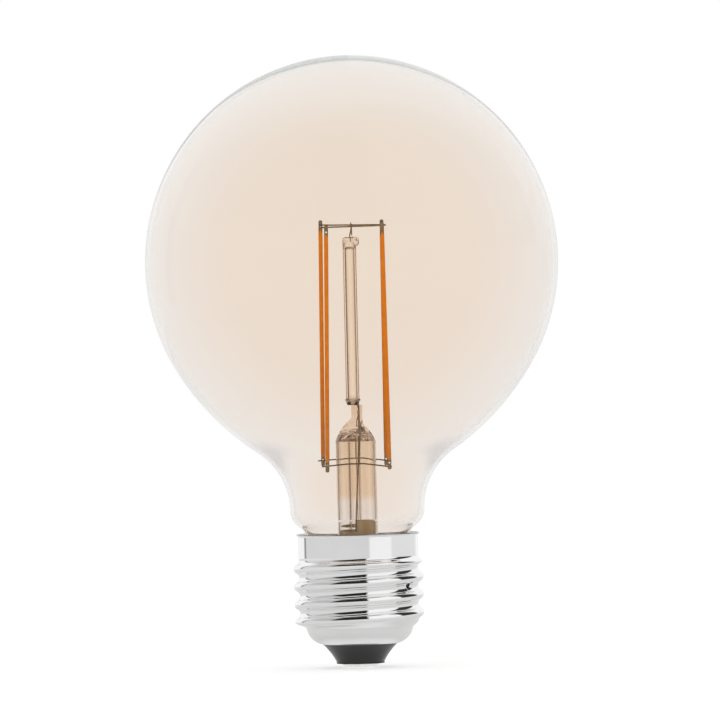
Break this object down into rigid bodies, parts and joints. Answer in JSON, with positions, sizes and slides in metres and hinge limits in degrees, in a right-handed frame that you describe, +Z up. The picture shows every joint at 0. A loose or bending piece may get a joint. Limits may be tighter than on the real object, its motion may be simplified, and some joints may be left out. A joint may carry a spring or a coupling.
{
  "type": "globe bulb",
  "caption": "Globe bulb of pale amber glass with upright light strips on a glass stem, crossed wires and a screw cap with a black glass insulator.",
  "frame": {"origin": "lowest point of the solder contact, on the bulb's axis", "axes": "+Z up along the bulb's axis from the contact to the globe's top, +X to the right and +Y to the back as the picture sees it"},
  "size_m": [0.084, 0.084, 0.1245],
  "materials": {
    "amber_glass": "clear blown glass with a pale amber tint",
    "stem_glass": "clear glass seen through the amber globe",
    "black_glass": "black pressed glass, glossy",
    "nickel_shell": "bright nickel plating",
    "bright_wire": "drawn nickel wire",
    "tab_metal": "thin plated steel",
    "strip_coating": "orange silicone with phosphor, satin",
    "sleeve_paper": "brown insulating paper, satin",
    "cement": "hard capping cement, matt",
    "contact_brass": "plain brass",
    "solder": "dull tin solder",
    "board": "bare fibre board",
    "component_black": "moulded black resin",
    "capacitor_sleeve": "shrunk plastic sleeve",
    "resistor_body": "lacquered ceramic"
  },
  "bodies": {
    "root": {"bridge_rectifier": "component_black", "cap_cement": "cement", "cap_insulator": "black_glass", "cap_shell": "nickel_shell", "contact_plate": "contact_brass", "crossbar_back": "bright_wire", "crossbar_front": "bright_wire", "driver_board": "board", "driver_chip": "component_black", "exhaust_tube": "stem_glass", "fuse_resistor": "resistor_body", "glass_globe": "amber_glass", "glass_stem": "stem_glass", "hook_wire": "bright_wire", "insulating_sleeve": "sleeve_paper", "lead_wire_back": "bright_wire", "lead_wire_front": "bright_wire", "live_wire": "bright_wire", "neutral_wire": "bright_wire", "smoothing_capacitor": "capacitor_sleeve", "solder_tip": "solder", "strip_back_left": "strip_coating", "strip_back_right": "strip_coating", "strip_front_left": "strip_coating", "strip_front_right": "strip_coating", "support_rod": "stem_glass", "tab_back_left_bottom": "tab_metal", "tab_back_left_top": "tab_metal", "tab_back_right_bottom": "tab_metal", "tab_back_right_top": "tab_metal", "tab_front_left_bottom": "tab_metal", "tab_front_left_top": "tab_metal", "tab_front_right_bottom": "tab_metal", "tab_front_right_top": "tab_metal", "upper_wire_a": "bright_wire", "upper_wire_b": "bright_wire"}
  },
  "joints": []
}
